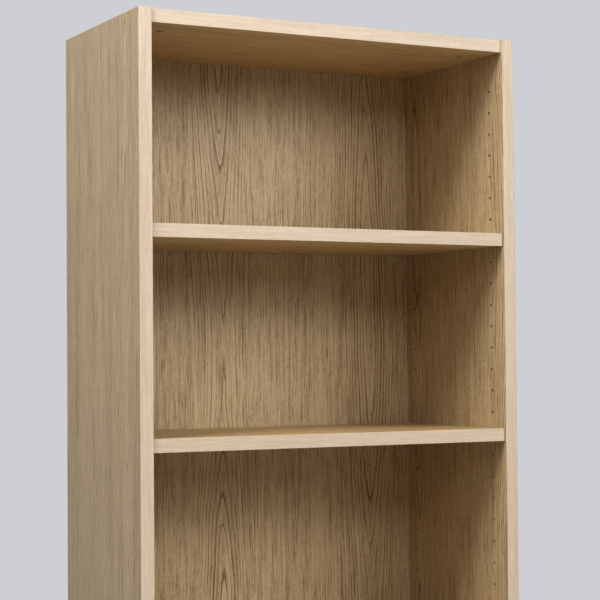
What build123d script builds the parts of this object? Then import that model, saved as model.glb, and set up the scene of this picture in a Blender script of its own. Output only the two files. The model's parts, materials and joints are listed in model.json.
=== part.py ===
from build123d import *
import os

# Bookcase with adjustable shelves, in millimetres.
# +Z is up and the front faces -Y. The origin is on the floor, at the middle of
# the width and of the overall depth.

# ---- Case -------------------------------------------------------------------
WIDTH = 600.0            # over the outer faces of the two sides
HEIGHT = 1800.0          # floor to the upper face of the top board
SIDE_DEPTH = 280.0       # front edge to rear edge of a side, its band included
BOARD = 19.0             # thickness of the sides, boards, shelves and plinth
BAND = 1.0               # thickness of the bands on the front edges
BAND_ROUND = 0.6         # rounding of a band's two long outer edges
SETBACK = 4.0            # front edges of the boards behind those of the sides
BAYS = 6                 # compartments, one above the other
BAYS_ABOVE_FIXED = 3     # compartments above the fixed shelf
PLINTH_LEAST = 50.0      # least height of the plinth
PLINTH_SETBACK = 22.0    # face of the plinth behind the sides' front edges
BACK = 3.0               # thickness of the back panel
BACK_INSET = 1.0         # the back panel's edges inside the case's outline

# ---- Rows of pin holes in the sides -----------------------------------------
PITCH = 32.0             # from one hole to the next, up and down
HOLE = 5.0               # diameter
HOLE_DEPTH = 12.0
FRONT_COLUMN = 37.0      # behind the sides' front edges
REAR_COLUMN = 24.0       # in front of the sides' rear edges
FIRST_ROW = 2            # first drilled row, counted from an end board's own row
ROWS_BY_FIXED = 2        # first drilled row, counted from the fixed shelf's row

# ---- Adjustable shelves and their pins --------------------------------------
SHELF_END_GAP = 1.0      # between a shelf's end and the side
SHELF_REAR_GAP = 2.0     # between a shelf and the back panel
SHAFT_LENGTH = 10.0      # the round end that sits in a side's hole
TONGUE = 7.0             # diameter of the end under the shelf, before its flat
TONGUE_LENGTH = 9.0
TONGUE_RISE = 0.2        # its flat top above the top of the round end
SLOT_CLEARANCE = 0.4     # each side of the tongue, in the shelf's slot
SLOT_SPARE = 1.0         # straight part beyond the tongue when the pin is drawn right out

# ---- Cam locks and dowels of the top, fixed shelf and bottom ----------------
CAM_INSET = 62.0         # from the front or rear edges of the sides
CAM_REACH = 37.0         # from a side's inner face to the cam's axis
CAM_BORE = 12.0
CAM_ABOVE_AXIS = 4.5     # of the bolt, to the cam's inner end
CAM_RECESS = 0.5         # the cam's face above the board's lower face
CAM_POCKET = 8.0         # hollow round the bolt's head
CAM_POCKET_HEIGHT = 7.0
CAM_MOUTH = 4.0          # way in for the bolt's neck
CROSS_LENGTH = 7.0       # cross recess for the screwdriver
CROSS_WIDTH = 1.4
CROSS_DEPTH = 2.0
THREAD_LENGTH = 10.5     # of the bolt, in the side
COLLAR = 8.0
COLLAR_LENGTH = 1.0
BOLT_SHANK = 6.0
BOLT_NECK = 3.0
BOLT_NECK_LENGTH = 6.5
BOLT_HEAD = 5.6
BOLT_HEAD_LENGTH = 3.0
DOWEL = 8.0
DOWEL_IN_SIDE = 10.0
DOWEL_IN_BOARD = 20.0
DOWEL_OFFSET = 32.0      # from the cam's axis, towards the middle of the board
PLINTH_DOWEL_PITCH = 24.0

# ---- Nails, glides and wall bracket -----------------------------------------
NAIL = 1.6
NAIL_LENGTH = 20.0
NAIL_HEAD = 3.6
NAIL_HEAD_LENGTH = 0.8
NAIL_POINT = 2.0
NAIL_SPACING = 180.0     # at most this far apart
NAIL_END = 40.0          # from the ends of the edge that they hold
GLIDE = 16.0
GLIDE_HEIGHT = 3.0
GLIDE_ROUND = 0.8
GLIDE_INSET = 55.0       # from the front and rear edges of the sides
SPIKE = 2.4
SPIKE_LENGTH = 14.0
BRACKET_WIDTH = 45.0
BRACKET_LEG = 22.0       # outside length of either leg
BRACKET_SHEET = 2.0
BRACKET_BEND = 1.0       # inside radius of the bend
BRACKET_CORNER = 3.0     # rounding of the legs' free corners
BRACKET_HOLE_PITCH = 25.0
BRACKET_HOLE_RISE = 14.0  # from the outside of the other leg
WALL_HOLE = 5.5
SCREW = 4.0
SCREW_HOLE = 4.5         # in the bracket
SCREW_LENGTH = 15.0      # below the head
SCREW_HEAD = 7.6
SCREW_HEAD_HEIGHT = 2.4
SCREW_HEAD_ROUND = 1.2
SCREW_POINT = 3.0
SCREW_CROSS = 0.6        # size of its recess beside the cam's

# ---- Fits and small finishes ------------------------------------------------
PIN_FIT = 0.05           # radial, a shelf pin in its hole
FIXING_FIT = 0.05        # radial, fixings in their bores
COLLAR_ROOM = 0.4        # radial, round a bolt's collar
BORE_SPARE = 1.0         # depth of a bore beyond its fixing
METAL_CHAMFER = 0.6      # ends of pins and bolts
DOWEL_CHAMFER = 1.0

# ---- Derived places ---------------------------------------------------------
inner_half = WIDTH / 2 - BOARD
side_middle = WIDTH / 2 - BOARD / 2
y_front = -(SIDE_DEPTH + BACK) / 2
y_rear = y_front + SIDE_DEPTH
y_back = y_rear + BACK
y_boards = y_front + SETBACK
y_plinth = y_front + PLINTH_SETBACK
columns = (y_front + FRONT_COLUMN, y_rear - REAR_COLUMN)
cam_places = (y_front + CAM_INSET, y_rear - CAM_INSET)
dowel_places = (cam_places[0] + DOWEL_OFFSET, cam_places[1] - DOWEL_OFFSET)
cam_x = CAM_REACH - inner_half
cam_height = BOARD / 2 + CAM_ABOVE_AXIS - CAM_RECESS
tongue_flat = HOLE / 2 + TONGUE_RISE

rows = int((HEIGHT - GLIDE_HEIGHT - PLINTH_LEAST - BOARD) // PITCH)
board_rows = [round(bay * rows / BAYS) for bay in range(BAYS + 1)]
fixed_row = board_rows[BAYS_ABOVE_FIXED]
shelf_rows = [row for row in board_rows[1:-1] if row != fixed_row]
hole_rows = [row for row in range(FIRST_ROW, rows - FIRST_ROW + 1)
             if abs(row - fixed_row) >= ROWS_BY_FIXED]


def row_height(row):
    """Height of a row's centre line; row 0 is the top board's."""
    return HEIGHT - BOARD / 2 - row * PITCH


def spread(low, high, spacing):
    """Evenly spaced places from low to high, at most a spacing apart."""
    gaps = max(1, -int(-(high - low) // spacing))
    return [low + (high - low) * place / gaps for place in range(gaps + 1)]


fixed_heights = {"top_board": row_height(0),
                 "fixed_shelf": row_height(fixed_row),
                 "bottom_board": row_height(rows)}
plinth_top = row_height(rows) - BOARD / 2
plinth_middle = (plinth_top + GLIDE_HEIGHT) / 2
plinth_dowel_places = [(y_plinth + BOARD / 2, plinth_middle + side * PLINTH_DOWEL_PITCH / 2)
                       for side in (-1, 1)]
glide_places = [(x, y) for x in (-side_middle, side_middle)
                for y in (y_front + GLIDE_INSET, y_rear - GLIDE_INSET)]
nail_heights = spread(plinth_top + NAIL_END, HEIGHT - NAIL_END, NAIL_SPACING)
nail_widths = spread(NAIL_END - inner_half, inner_half - NAIL_END, NAIL_SPACING)
side_nails = [(x, z) for x in (-side_middle, side_middle) for z in nail_heights]
board_nails = [(x, z) for z in fixed_heights.values() for x in nail_widths]
bracket_holes = (-BRACKET_HOLE_PITCH / 2, BRACKET_HOLE_PITCH / 2)
y_screws = y_back - BRACKET_HOLE_RISE


# ---- Shapes that repeat -----------------------------------------------------
def block(x, y, z):
    """A box from its low and high values along X, Y and Z."""
    size = [high - low for low, high in (x, y, z)]
    middle = [(high + low) / 2 for low, high in (x, y, z)]
    return Pos(*middle) * Box(*size)


def turned(outline, start, direction):
    """A lathe shape. Its outline is (distance from start, radius) pairs."""
    corners = [(radius, along) for along, radius in outline]
    profile = Plane.XZ * make_face(Polyline(*corners, close=True))
    return Plane(origin=start, z_dir=direction).location * revolve(profile, Axis.Z)


def bore(start, direction, diameter, depth):
    """A plain round bar, used as a cutter."""
    radius = diameter / 2
    return turned([(0, 0), (0, radius), (depth, radius), (depth, 0)], start, direction)


def bar(start, direction, diameter, length, chamfer):
    """A round bar with both ends chamfered."""
    radius = diameter / 2
    return turned([(0, 0), (0, radius - chamfer), (chamfer, radius),
                   (length - chamfer, radius), (length, radius - chamfer), (length, 0)],
                  start, direction)


def both_ends(shapes):
    """Shapes of the left end, with their mirror images at the right."""
    return shapes + [mirror(shape, about=Plane.YZ) for shape in shapes]


def edge_band(x, y, z, along):
    """A band on a front edge at y, its two long outer edges rounded."""
    band = block(x, (y, y + BAND), z)
    front = band.faces().sort_by(Axis.Y)[0]
    return fillet(front.edges().filter_by(along), BAND_ROUND)


def cross_recess(centre, direction, scale=1.0):
    """A cross-shaped cutter for a screwdriver, sunk along a direction."""
    arm = Box(CROSS_LENGTH * scale, CROSS_WIDTH * scale, CROSS_DEPTH * scale)
    cross = Pos(0, 0, CROSS_DEPTH * scale / 2) * (arm + Rot(0, 0, 90) * arm)
    return Plane(origin=centre, z_dir=direction).location * cross


def nail_bores(places):
    """Bores for nails at (x, z) places."""
    return [bore((x, y_back, z), (0, -1, 0), NAIL + 2 * FIXING_FIT, NAIL_LENGTH)
            for x, z in places]


# ---- Boards -----------------------------------------------------------------
def left_side():
    """The left side, drilled for the pins, bolts, dowels, nails and glides."""
    inward = (-1, 0, 0)
    holes = [bore((-inner_half, y, row_height(row)), inward, HOLE, HOLE_DEPTH)
             for row in hole_rows for y in columns]
    for z in fixed_heights.values():
        holes += [bore((-inner_half, y, z), inward, HOLE, THREAD_LENGTH + BORE_SPARE)
                  for y in cam_places]
        holes += [bore((-inner_half, y, z), inward, DOWEL, DOWEL_IN_SIDE)
                  for y in dowel_places]
    holes += [bore((-inner_half, y, z), inward, DOWEL, DOWEL_IN_SIDE)
              for y, z in plinth_dowel_places]
    holes += [bore((x, y, GLIDE_HEIGHT), (0, 0, 1), SPIKE + 2 * FIXING_FIT,
                   SPIKE_LENGTH + BORE_SPARE) for x, y in glide_places if x < 0]
    panel = block((-WIDTH / 2, -inner_half), (y_front + BAND, y_rear), (GLIDE_HEIGHT, HEIGHT))
    return panel - holes - nail_bores([place for place in side_nails if place[0] < 0])


def fixed_board(z):
    """A board that the cam locks hold between the sides."""
    board = block((-inner_half, inner_half), (y_boards + BAND, y_rear),
                  (z - BOARD / 2, z + BOARD / 2))
    cuts = []
    for y in cam_places:
        cuts.append(bore((cam_x, y, z - BOARD / 2), (0, 0, 1), CAM_BORE,
                         CAM_RECESS + cam_height))
        cuts.append(bore((-inner_half, y, z), (1, 0, 0), COLLAR + 2 * COLLAR_ROOM, CAM_REACH))
    cuts += [bore((-inner_half, y, z), (1, 0, 0), DOWEL, DOWEL_IN_BOARD + BORE_SPARE)
             for y in dowel_places]
    return board - both_ends(cuts) - nail_bores([nail for nail in board_nails if nail[1] == z])


def top_board(z):
    """The top, with pilot holes for the wall bracket's screws."""
    depth = SCREW_LENGTH - BRACKET_SHEET + BORE_SPARE
    pilots = [bore((x, y_screws, HEIGHT), (0, 0, -1), SCREW + 2 * FIXING_FIT, depth)
              for x in bracket_holes]
    return fixed_board(z) - pilots


def adjustable_shelf(z):
    """A loose shelf, with a slot over each of its four pins."""
    width = TONGUE + 2 * SLOT_CLEARANCE
    straight_end = TONGUE_LENGTH + SHAFT_LENGTH + SLOT_SPARE - inner_half
    underside = z - BOARD / 2
    roof = z + tongue_flat
    slots = []
    for y in columns:
        slots.append(block((-inner_half, straight_end), (y - width / 2, y + width / 2),
                           (underside, roof)))
        slots.append(bore((straight_end, y, underside), (0, 0, 1), width, roof - underside))
    half = inner_half - SHELF_END_GAP
    board = block((-half, half), (y_boards + BAND, y_rear - SHELF_REAR_GAP),
                  (underside, underside + BOARD))
    return board - both_ends(slots)


def back_panel():
    """The thin panel behind the case, drilled and sunk for the nails."""
    panel = block((BACK_INSET - WIDTH / 2, WIDTH / 2 - BACK_INSET), (y_rear, y_back),
                  (plinth_top, HEIGHT - BACK_INSET))
    heads = [bore((x, y_back, z), (0, -1, 0), NAIL_HEAD + 2 * FIXING_FIT, NAIL_HEAD_LENGTH)
             for x, z in side_nails + board_nails]
    return panel - nail_bores(side_nails + board_nails) - heads


def plinth():
    """The board on edge under the bottom board's front."""
    board = block((-inner_half, inner_half), (y_plinth, y_plinth + BOARD),
                  (GLIDE_HEIGHT, plinth_top))
    cuts = [bore((-inner_half, y, z), (1, 0, 0), DOWEL, DOWEL_IN_BOARD + BORE_SPARE)
            for y, z in plinth_dowel_places]
    return board - both_ends(cuts)


# ---- Fixings ----------------------------------------------------------------
def left_pins(z):
    """The two pins under a shelf's left end: a shaft and a flat-topped tongue."""
    pins = []
    for y in columns:
        tongue = bar((-inner_half, y, z), (1, 0, 0), TONGUE, TONGUE_LENGTH, METAL_CHAMFER)
        waste = block((-inner_half, TONGUE_LENGTH - inner_half), (y - TONGUE, y + TONGUE),
                      (z + tongue_flat, z + TONGUE))
        shaft = bar((-inner_half - SHAFT_LENGTH, y, z), (1, 0, 0), HOLE - 2 * PIN_FIT,
                    SHAFT_LENGTH, METAL_CHAMFER)
        neck = bore((-inner_half - 2 * METAL_CHAMFER, y, z), (1, 0, 0), HOLE - 2 * PIN_FIT,
                    2 * METAL_CHAMFER)
        pins.append(shaft + neck + (tongue - waste))
    return pins


def cam_locks(z):
    """The four cams in a board's lower face, each hollow round its bolt's head."""
    face = z - BOARD / 2 + CAM_RECESS
    low, high = z - CAM_POCKET_HEIGHT / 2, z + CAM_POCKET_HEIGHT / 2
    cams = []
    for y in cam_places:
        cam = bore((cam_x, y, face), (0, 0, 1), CAM_BORE - 2 * FIXING_FIT, cam_height)
        pocket = bore((cam_x, y, low), (0, 0, 1), CAM_POCKET, CAM_POCKET_HEIGHT)
        mouth = block((cam_x - CAM_BORE, cam_x), (y - CAM_MOUTH / 2, y + CAM_MOUTH / 2),
                      (low, high))
        cams.append(cam - pocket - mouth - cross_recess((cam_x, y, face), (0, 0, 1)))
    return both_ends(cams)


def cam_bolts(z):
    """The four bolts from the sides into a board's cams."""
    head_end = CAM_REACH + BOLT_HEAD_LENGTH / 2
    head_start = head_end - BOLT_HEAD_LENGTH
    shank_end = head_start - BOLT_NECK_LENGTH
    thread = HOLE / 2 - FIXING_FIT
    outline = [(-THREAD_LENGTH, 0), (-THREAD_LENGTH, thread - METAL_CHAMFER),
               (METAL_CHAMFER - THREAD_LENGTH, thread), (0, thread), (0, COLLAR / 2),
               (COLLAR_LENGTH, COLLAR / 2), (COLLAR_LENGTH, BOLT_SHANK / 2),
               (shank_end, BOLT_SHANK / 2), (shank_end, BOLT_NECK / 2),
               (head_start, BOLT_NECK / 2), (head_start, BOLT_HEAD / 2),
               (head_end - METAL_CHAMFER, BOLT_HEAD / 2),
               (head_end, BOLT_HEAD / 2 - METAL_CHAMFER), (head_end, 0)]
    return both_ends([turned(outline, (-inner_half, y, z), (1, 0, 0)) for y in cam_places])


def dowels(places):
    """Dowels from the left side into a board at (y, z) places, and at the right."""
    length = DOWEL_IN_SIDE + DOWEL_IN_BOARD
    return both_ends([bar((-inner_half - DOWEL_IN_SIDE, y, z), (1, 0, 0),
                          DOWEL - 2 * FIXING_FIT, length, DOWEL_CHAMFER) for y, z in places])


def nails():
    """The nails of the back panel."""
    outline = [(0, 0), (0, NAIL_HEAD / 2), (NAIL_HEAD_LENGTH, NAIL_HEAD / 2),
               (NAIL_HEAD_LENGTH, NAIL / 2), (NAIL_LENGTH - NAIL_POINT, NAIL / 2),
               (NAIL_LENGTH, 0)]
    return [turned(outline, (x, y_back, z), (0, -1, 0)) for x, z in side_nails + board_nails]


def glides():
    """The four nail-on glides, each a foot and a spike."""
    spike_top = GLIDE_HEIGHT + SPIKE_LENGTH
    outline = [(0, 0), (0, GLIDE / 2 - GLIDE_ROUND), (GLIDE_ROUND, GLIDE / 2),
               (GLIDE_HEIGHT, GLIDE / 2), (GLIDE_HEIGHT, SPIKE / 2),
               (spike_top - SPIKE, SPIKE / 2), (spike_top, 0)]
    return [turned(outline, (x, y, 0), (0, 0, 1)) for x, y in glide_places]


def wall_bracket():
    """An angle on the top board that ties the case to a wall."""
    sheet = BRACKET_SHEET
    corners = [(0, 0), (-BRACKET_LEG, 0), (-BRACKET_LEG, sheet), (-sheet, sheet),
               (-sheet, BRACKET_LEG), (0, BRACKET_LEG)]
    section = make_face(Polyline(*corners, close=True))
    section = fillet(section.vertices().sort_by_distance((-sheet, sheet, 0))[0], BRACKET_BEND)
    section = fillet(section.vertices().sort_by_distance((0, 0, 0))[0], sheet + BRACKET_BEND)
    angle = extrude(Plane.YZ * section, BRACKET_WIDTH / 2, both=True)
    free_corners = angle.edges().filter_by(Axis.Z).group_by(Axis.Y)[0]
    free_corners += angle.edges().filter_by(Axis.Y).group_by(Axis.Z)[-1]
    angle = fillet(free_corners, BRACKET_CORNER)
    for x in bracket_holes:
        angle -= bore((x, -BRACKET_HOLE_RISE, 0), (0, 0, 1), SCREW_HOLE, sheet)
        angle -= bore((x, 0, BRACKET_HOLE_RISE), (0, -1, 0), WALL_HOLE, sheet)
    return Pos(0, y_back, HEIGHT) * angle


def bracket_screws():
    """The two screws that hold the wall bracket down."""
    tip = SCREW_HEAD_HEIGHT + SCREW_LENGTH
    outline = [(0, 0), (0, SCREW_HEAD / 2 - SCREW_HEAD_ROUND),
               (SCREW_HEAD_ROUND, SCREW_HEAD / 2), (SCREW_HEAD_HEIGHT, SCREW_HEAD / 2),
               (SCREW_HEAD_HEIGHT, SCREW / 2), (tip - SCREW_POINT, SCREW / 2), (tip, 0)]
    head_top = HEIGHT + BRACKET_SHEET + SCREW_HEAD_HEIGHT
    screws = []
    for x in bracket_holes:
        top = (x, y_screws, head_top)
        screw = turned(outline, top, (0, 0, -1))
        screws.append(screw - cross_recess(top, (0, 0, -1), SCREW_CROSS))
    return screws


# ---- Assembly ---------------------------------------------------------------
def group(shapes):
    """Separate solids that share one node."""
    return Compound(children=shapes)


nodes = {"left_side": left_side()}
nodes["right_side"] = mirror(nodes["left_side"], about=Plane.YZ)
nodes["left_side_edge_band"] = edge_band((-WIDTH / 2, -inner_half), y_front,
                                         (GLIDE_HEIGHT, HEIGHT), Axis.Z)
nodes["right_side_edge_band"] = mirror(nodes["left_side_edge_band"], about=Plane.YZ)

for name, z in fixed_heights.items():
    nodes[name] = top_board(z) if name == "top_board" else fixed_board(z)
    nodes[f"{name}_edge_band"] = edge_band((-inner_half, inner_half), y_boards,
                                           (z - BOARD / 2, z + BOARD / 2), Axis.X)
    nodes[f"{name}_cam_locks"] = group(cam_locks(z))
    nodes[f"{name}_cam_bolts"] = group(cam_bolts(z))
    nodes[f"{name}_dowels"] = group(dowels([(y, z) for y in dowel_places]))

shelf_half = inner_half - SHELF_END_GAP
for number, row in enumerate(shelf_rows, start=1):
    z = row_height(row)
    nodes[f"shelf_{number}"] = adjustable_shelf(z)
    nodes[f"shelf_{number}_edge_band"] = edge_band((-shelf_half, shelf_half), y_boards,
                                                   (z - BOARD / 2, z + BOARD / 2), Axis.X)
    pins = left_pins(z)
    nodes[f"shelf_{number}_left_pins"] = group(pins)
    nodes[f"shelf_{number}_right_pins"] = group([mirror(pin, about=Plane.YZ) for pin in pins])

nodes["plinth"] = plinth()
nodes["plinth_dowels"] = group(dowels(plinth_dowel_places))
nodes["back_panel"] = back_panel()
nodes["back_panel_nails"] = group(nails())
nodes["floor_glides"] = group(glides())
nodes["wall_bracket"] = wall_bracket()
nodes["wall_bracket_screws"] = group(bracket_screws())

os.makedirs("parts", exist_ok=True)
for name, shape in nodes.items():
    export_step(shape, f"parts/{name}.step")
    print(f"{name}: {len(shape.solids())} solids")
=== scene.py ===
"""Bookcase with adjustable shelves: its finishes, detailed fixings, studio and camera.

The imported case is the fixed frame. Its boards, bands, cams, pins and bracket keep their
shapes and are dressed in oak, metal and board finishes. Its dowels, cam bolts, nails,
screws and glides are made here in full and stand where the frame has plain solids.
Lengths are in metres, +Z is up and the front faces -Y.
"""

import json
import logging
import math
from collections.abc import Iterable, Sequence
from dataclasses import dataclass
from enum import Enum
from functools import cached_property
from typing import Any

import bmesh
import bpy
from mathutils import Matrix, Vector

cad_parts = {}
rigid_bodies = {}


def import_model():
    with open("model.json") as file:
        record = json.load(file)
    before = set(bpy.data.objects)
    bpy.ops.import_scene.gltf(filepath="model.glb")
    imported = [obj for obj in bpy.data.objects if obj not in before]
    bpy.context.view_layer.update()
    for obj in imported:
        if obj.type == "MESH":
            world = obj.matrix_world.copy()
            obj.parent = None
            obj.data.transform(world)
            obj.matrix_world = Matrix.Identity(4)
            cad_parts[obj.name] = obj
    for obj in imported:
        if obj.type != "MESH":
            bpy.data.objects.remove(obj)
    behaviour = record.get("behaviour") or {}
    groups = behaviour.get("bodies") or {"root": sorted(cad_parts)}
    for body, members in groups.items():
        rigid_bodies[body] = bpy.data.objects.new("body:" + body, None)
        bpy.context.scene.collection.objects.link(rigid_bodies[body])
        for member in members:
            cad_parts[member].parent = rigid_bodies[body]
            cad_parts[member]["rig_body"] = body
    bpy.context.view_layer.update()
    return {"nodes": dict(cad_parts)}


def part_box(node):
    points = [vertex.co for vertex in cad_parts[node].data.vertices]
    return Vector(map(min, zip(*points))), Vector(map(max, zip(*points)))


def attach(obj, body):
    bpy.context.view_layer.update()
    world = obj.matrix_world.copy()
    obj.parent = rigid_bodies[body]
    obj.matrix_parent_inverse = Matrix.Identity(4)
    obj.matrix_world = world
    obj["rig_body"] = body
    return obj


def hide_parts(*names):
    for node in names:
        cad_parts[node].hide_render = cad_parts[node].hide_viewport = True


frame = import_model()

MM = 0.001
TURN = 2 * math.pi
MERGE = 1e-6             # points nearer than this are one
SHARP_ANGLE = math.radians(32)
FOIL = 0.3 * MM          # how deep a board's covered faces show their foil
THREAD_LAP = 0.2 * MM    # how far a thread runs on into the shank above it
BOARDS = ("top_board", "fixed_shelf", "bottom_board")
SHELVES = ("shelf_1", "shelf_2", "shelf_3", "shelf_4")

Colour = tuple[float, float, float]
Place = tuple[float, float, float]
Outline = Sequence[tuple[float, float]]
log = logging.getLogger("bookcase")


# ---- Shader maths -------------------------------------------------------------
class Value:
    """A shader socket that takes part in arithmetic."""

    def __init__(self, recipe: "Recipe", socket: bpy.types.NodeSocket) -> None:
        """Wraps one output socket of a recipe's node.

        Args:
            recipe: The recipe that the socket's node belongs to.
            socket: The output socket.
        """
        self.recipe = recipe
        self.socket = socket

    def _math(self, operation: str, *terms: "Value | float") -> "Value":
        """The output of one new Math node on the terms."""
        return self.recipe.math(operation, *terms)

    def __add__(self, other: "Value | float") -> "Value":
        """Self plus other."""
        return self._math("ADD", self, other)

    def __radd__(self, other: float) -> "Value":
        """Other plus self."""
        return self._math("ADD", other, self)

    def __sub__(self, other: "Value | float") -> "Value":
        """Self less other."""
        return self._math("SUBTRACT", self, other)

    def __rsub__(self, other: float) -> "Value":
        """Other less self."""
        return self._math("SUBTRACT", other, self)

    def __mul__(self, other: "Value | float") -> "Value":
        """Self times other."""
        return self._math("MULTIPLY", self, other)

    def __rmul__(self, other: float) -> "Value":
        """Other times self."""
        return self._math("MULTIPLY", other, self)

    def __truediv__(self, other: "Value | float") -> "Value":
        """Self over other."""
        return self._math("DIVIDE", self, other)

    def __pow__(self, other: "Value | float") -> "Value":
        """Self to a power."""
        return self._math("POWER", self, other)

    def __gt__(self, other: "Value | float") -> "Value":
        """One where self is the greater, or else zero."""
        return self._math("GREATER_THAN", self, other)

    def __lt__(self, other: "Value | float") -> "Value":
        """One where self is the smaller, or else zero."""
        return self._math("LESS_THAN", self, other)

    def __abs__(self) -> "Value":
        """Self without its sign."""
        return self._math("ABSOLUTE", self)

    def ramp(self, low: float, high: float) -> "Value":
        """Zero at low and one at high, smooth in between and flat beyond.

        Args:
            low: The value that becomes zero.
            high: The value that becomes one.

        Returns:
            The eased value.
        """
        return self.recipe.value("ShaderNodeMapRange", {"interpolation_type": "SMOOTHSTEP"},
                                 {0: self, 1: low, 2: high, 3: 0.0, 4: 1.0})


class Recipe:
    """The nodes of one material or world."""

    def __init__(self, tree: bpy.types.NodeTree) -> None:
        """Empties a node tree, ready for new nodes.

        Args:
            tree: The tree of a material or a world.
        """
        self.tree = tree
        tree.nodes.clear()

    def node(self, kind: str, settings: dict[str, Any] | None = None,
             inputs: dict[int | str, Any] | None = None) -> bpy.types.Node:
        """Adds a node, its settings first and then its sockets.

        Args:
            kind: The node's type.
            settings: The node's own properties, such as a Math node's operation.
            inputs: Sockets by name or number, each with a constant or a Value.

        Returns:
            The new node.
        """
        made = self.tree.nodes.new(kind)
        for name, choice in (settings or {}).items():
            setattr(made, name, choice)
        for name, term in (inputs or {}).items():
            if isinstance(term, Value):
                self.tree.links.new(term.socket, made.inputs[name])
            else:
                made.inputs[name].default_value = term
        return made

    def value(self, kind: str, settings: dict[str, Any] | None = None,
              inputs: dict[int | str, Any] | None = None, output: int | str = 0) -> Value:
        """One output of a new node, which is made as node() makes it."""
        return Value(self, self.node(kind, settings, inputs).outputs[output])

    def math(self, operation: str, *terms: "Value | float") -> Value:
        """The output of a Math node on up to three terms."""
        return self.value("ShaderNodeMath", {"operation": operation}, dict(enumerate(terms)))

    @cached_property
    def point(self) -> dict[str, Value]:
        """The point on the piece, in the frame's metres.

        Returns:
            The point's part along each axis, by the axis's letter.
        """
        place = self.value("ShaderNodeTexCoord", output="Object")
        split = self.node("ShaderNodeSeparateXYZ", inputs={0: place})
        return {axis: Value(self, split.outputs[number]) for number, axis in enumerate("xyz")}

    def scaled(self, *counts: float) -> list[Value]:
        """The point in units that are smaller than a metre.

        Args:
            *counts: How many units make a metre, one number for all axes or one for each.

        Returns:
            The scaled point's three parts.
        """
        by_axis = counts * 3 if len(counts) == 1 else counts
        return [self.point[axis] * count for axis, count in zip("xyz", by_axis)]

    def vector(self, *parts: "Value | float") -> Value:
        """Three values as one vector."""
        return self.value("ShaderNodeCombineXYZ", inputs=dict(enumerate(parts)))

    def noise(self, *parts: "Value | float", detail: float = 1.0,
              roughness: float = 0.5) -> Value:
        """Soft noise about zero, from -0.5 to 0.5.

        Args:
            *parts: Three coordinates, already scaled, so that a grain is one unit long.
            detail: How many finer layers the noise has.
            roughness: How strong the finer layers are.

        Returns:
            The noise, less its mean.
        """
        return self.value("ShaderNodeTexNoise", inputs={
            "Vector": self.vector(*parts), "Scale": 1.0, "Detail": detail,
            "Roughness": roughness}) - 0.5

    def cells(self, *parts: "Value | float") -> Value:
        """A random value for each cell of a pattern of uneven cells.

        Args:
            *parts: Three coordinates, already scaled, so that a cell is one unit long.

        Returns:
            A value from 0 to 1, the same all over a cell.
        """
        colour = self.value("ShaderNodeTexVoronoi", {"feature": "F1"},
                            {"Vector": self.vector(*parts), "Scale": 1.0}, "Color")
        return self.value("ShaderNodeSeparateColor", inputs={0: colour})

    def blend(self, factor: "Value | float", first: "Value | Colour",
              second: "Value | Colour") -> Value:
        """A mix of two colours.

        Args:
            factor: Zero for the first colour and one for the second.
            first: A colour, constant or a Value.
            second: The other colour.

        Returns:
            The mixed colour.
        """
        colours = [tint if isinstance(tint, Value) else (*tint, 1.0) for tint in (first, second)]
        return self.value("ShaderNodeMix", {"data_type": "RGBA"},
                          {0: factor, 6: colours[0], 7: colours[1]}, 2)


@dataclass(frozen=True)
class Coat:
    """What one finish gives a surface at each point."""

    colour: Value
    roughness: Value
    height: Value

    def over(self, cover: Value, under: "Coat") -> "Coat":
        """This coat where cover is one, and another coat elsewhere.

        Args:
            cover: One on this coat's share of the surface.
            under: The coat on the rest.

        Returns:
            The two as one coat.
        """
        recipe = self.colour.recipe
        return Coat(recipe.blend(cover, under.colour, self.colour),
                    under.roughness + cover * (self.roughness - under.roughness),
                    under.height + cover * (self.height - under.height))


def new_recipe(name: str) -> tuple[bpy.types.Material, Recipe]:
    """Starts a material.

    Args:
        name: The material's name.

    Returns:
        A material with an empty node tree, and the recipe that fills it.
    """
    material = bpy.data.materials.new(name)
    material.use_nodes = True
    return material, Recipe(material.node_tree)


def finish_recipe(recipe: Recipe, coat: Coat, metallic: float = 0.0) -> None:
    """Joins a coat to the material's shader and output.

    Args:
        recipe: The material's recipe.
        coat: Colour, roughness and height.
        metallic: One for bare or plated metal.
    """
    bump = recipe.value("ShaderNodeBump", inputs={
        "Strength": 1.0, "Distance": 1.0, "Height": coat.height})
    shader = recipe.value("ShaderNodeBsdfPrincipled", inputs={
        "Base Color": coat.colour, "Roughness": coat.roughness, "Metallic": metallic,
        "Normal": bump})
    recipe.node("ShaderNodeOutputMaterial", inputs={0: shader})


# ---- Wood finishes ------------------------------------------------------------
class Grain(Enum):
    """Axes of a board's grain: along it, across it and through the board."""

    SIDE = ("z", "y", "x")       # the two sides
    UPRIGHT = ("z", "x", "y")    # the back panel and the sides' bands
    LEVEL = ("x", "y", "z")      # the top, the bottom and the shelves
    ON_EDGE = ("x", "z", "y")    # the plinth and the level boards' bands


@dataclass(frozen=True)
class Leaf:
    """Where one width of the printed oak figure lies on a board."""

    middle: float                # on the axis across the grain
    deepest: float               # where its heart lies deepest, on the axis along the grain
    seed: float                  # sets the board's pattern apart from the others

    def shifted(self, number: int, step: float, seed_step: float) -> "Leaf":
        """The leaf of a later board in a row, so that no two look alike."""
        return Leaf(self.middle + number * step, self.deepest, self.seed + number * seed_step)


@dataclass(frozen=True)
class GrainPoint:
    """A point on a board, by the board's grain."""

    recipe: Recipe
    along: Value
    across: Value
    face: Value                  # differs between a board's two faces, and between boards

    def noise(self, across: float, along: float, **layers: float) -> Value:
        """Soft noise with so many grains to a metre across the grain and along it."""
        return self.recipe.noise(self.across * across, self.along * along, self.face, **layers)


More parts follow.
